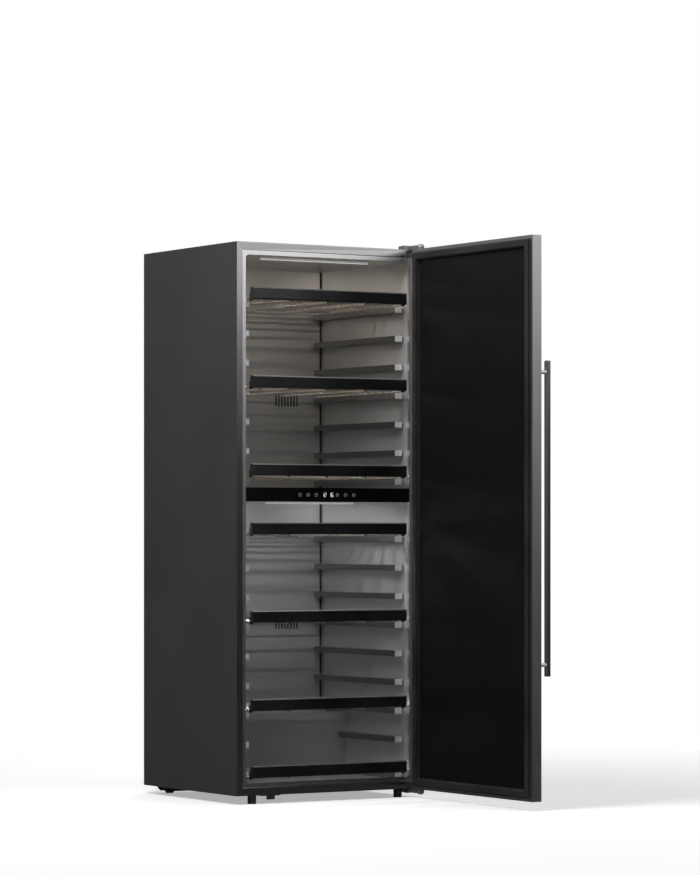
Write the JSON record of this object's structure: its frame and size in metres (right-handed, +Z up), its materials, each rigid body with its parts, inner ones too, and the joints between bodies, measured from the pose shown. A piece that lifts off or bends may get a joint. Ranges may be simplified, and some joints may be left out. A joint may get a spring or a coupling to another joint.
{
  "type": "wine cooler",
  "caption": "Tall free-standing two-zone wine cooler with wire shelves on runners, a middle control panel and a dark glass door hung on the right, shown open.",
  "frame": {"origin": "on the floor, under the middle of the whole footprint with the door open at a right angle", "axes": "+Z up, +X to the right as seen from the front, front facing -Y"},
  "size_m": [0.741, 1.3466, 1.835],
  "materials": {
    "case_paint": "satin",
    "frame_steel": "satin",
    "trim_steel": "satin",
    "liner_metal": "satin",
    "foam": "matte",
    "gloss_black": "gloss",
    "dark_glass": "polished",
    "lamp_lens": "satin",
    "runner_steel": "satin",
    "rack_wire": "polished",
    "hinge_metal": "satin",
    "bright_steel": "satin",
    "bush_plastic": "matte",
    "black_plastic": "matte",
    "seal_rubber": "matte",
    "handle_steel": "satin",
    "black_metal": "satin",
    "compressor_shell": "satin",
    "fin_aluminium": "satin"
  },
  "bodies": {
    "cabinet": {"back_panel": "case_paint", "base_pan": "case_paint", "compressor": "compressor_shell", "compressor_mounts": "seal_rubber", "condenser": "fin_aluminium", "control_panel": "gloss_black", "display_window": "dark_glass", "door_catch": "black_metal", "evaporators": "fin_aluminium", "fan_frames": "black_plastic", "front_frame": "frame_steel", "hinge_brackets": "hinge_metal", "hinge_pins": "bright_steel", "insulation": "foam", "lamp_strips": "lamp_lens", "liner_back": "liner_metal", "liner_ceiling": "liner_metal", "liner_floor": "liner_metal", "liner_left": "liner_metal", "liner_right": "liner_metal", "liner_step": "liner_metal", "opening_trim": "trim_steel", "power_inlet": "black_plastic", "rear_cover": "case_paint", "roller_beam": "black_metal", "screws": "bright_steel", "shelf_runners": "runner_steel", "side_panel_left": "case_paint", "side_panel_right": "case_paint", "top_panel": "case_paint", "zone_divider": "foam"},
    "door": {"door_frame": "frame_steel", "door_inner_frame": "black_plastic", "door_gasket": "seal_rubber", "door_outer_pane": "dark_glass", "door_inner_pane": "dark_glass", "door_spacer": "black_plastic", "hinge_bushes": "bush_plastic", "handle_bar": "handle_steel", "handle_posts": "handle_steel"},
    "shelf_1": {"shelf_1_strip": "gloss_black", "shelf_1_rack": "rack_wire"},
    "shelf_2": {"shelf_2_strip": "gloss_black", "shelf_2_rack": "rack_wire"},
    "shelf_3": {"shelf_3_strip": "gloss_black", "shelf_3_rack": "rack_wire"},
    "shelf_4": {"shelf_4_strip": "gloss_black", "shelf_4_rack": "rack_wire"},
    "shelf_5": {"shelf_5_strip": "gloss_black", "shelf_5_rack": "rack_wire"},
    "shelf_6": {"shelf_6_strip": "gloss_black", "shelf_6_rack": "rack_wire"},
    "shelf_7": {"shelf_7_strip": "gloss_black", "shelf_7_rack": "rack_wire"},
    "foot_left": {"front_foot_left": "black_plastic"},
    "foot_right": {"front_foot_right": "black_plastic"},
    "roller_left": {"rear_roller_left": "black_plastic"},
    "roller_right": {"rear_roller_right": "black_plastic"},
    "upper_fan_rotor": {"upper_fan": "black_plastic"},
    "lower_fan_rotor": {"lower_fan": "black_plastic"}
  },
  "joints": [
    {"name": "door_hinge", "type": "hinge", "parent": "cabinet", "child": "door", "pos_m": [0.3145, 0.01175, 0], "axis": [0, 0, 1], "range_deg": [-90, 25]},
    {"name": "shelf_1_slide", "type": "slide", "parent": "cabinet", "child": "shelf_1", "axis": [0, -1, 0], "range_m": [0, 0.3]},
    {"name": "shelf_2_slide", "type": "slide", "parent": "cabinet", "child": "shelf_2", "axis": [0, -1, 0], "range_m": [0, 0.3]},
    {"name": "shelf_3_slide", "type": "slide", "parent": "cabinet", "child": "shelf_3", "axis": [0, -1, 0], "range_m": [0, 0.3]},
    {"name": "shelf_4_slide", "type": "slide", "parent": "cabinet", "child": "shelf_4", "axis": [0, -1, 0], "range_m": [0, 0.3]},
    {"name": "shelf_5_slide", "type": "slide", "parent": "cabinet", "child": "shelf_5", "axis": [0, -1, 0], "range_m": [0, 0.3]},
    {"name": "shelf_6_slide", "type": "slide", "parent": "cabinet", "child": "shelf_6", "axis": [0, -1, 0], "range_m": [0, 0.3]},
    {"name": "shelf_7_slide", "type": "slide", "parent": "cabinet", "child": "shelf_7", "axis": [0, -1, 0], "range_m": [0, 0.2]},
    {"name": "foot_left_turn", "type": "hinge", "parent": "cabinet", "child": "foot_left", "pos_m": [-0.3005, 0.06775, 0], "axis": [0, 0, 1], "continuous": true},
    {"name": "foot_right_turn", "type": "hinge", "parent": "cabinet", "child": "foot_right", "pos_m": [0.2595, 0.06775, 0], "axis": [0, 0, 1], "continuous": true},
    {"name": "roller_left_spin", "type": "hinge", "parent": "cabinet", "child": "roller_left", "pos_m": [-0.2955, 0.62675, 0.012], "axis": [1, 0, 0], "continuous": true},
    {"name": "roller_right_spin", "type": "hinge", "parent": "cabinet", "child": "roller_right", "pos_m": [0.2545, 0.62675, 0.012], "axis": [1, 0, 0], "continuous": true},
    {"name": "upper_fan_spin", "type": "hinge", "parent": "cabinet", "child": "upper_fan_rotor", "pos_m": [0.1545, 0.62125, 1.332], "axis": [0, 1, 0], "continuous": true},
    {"name": "lower_fan_spin", "type": "hinge", "parent": "cabinet", "child": "lower_fan_rotor", "pos_m": [0.1545, 0.62125, 0.568], "axis": [0, 1, 0], "continuous": true}
  ]
}
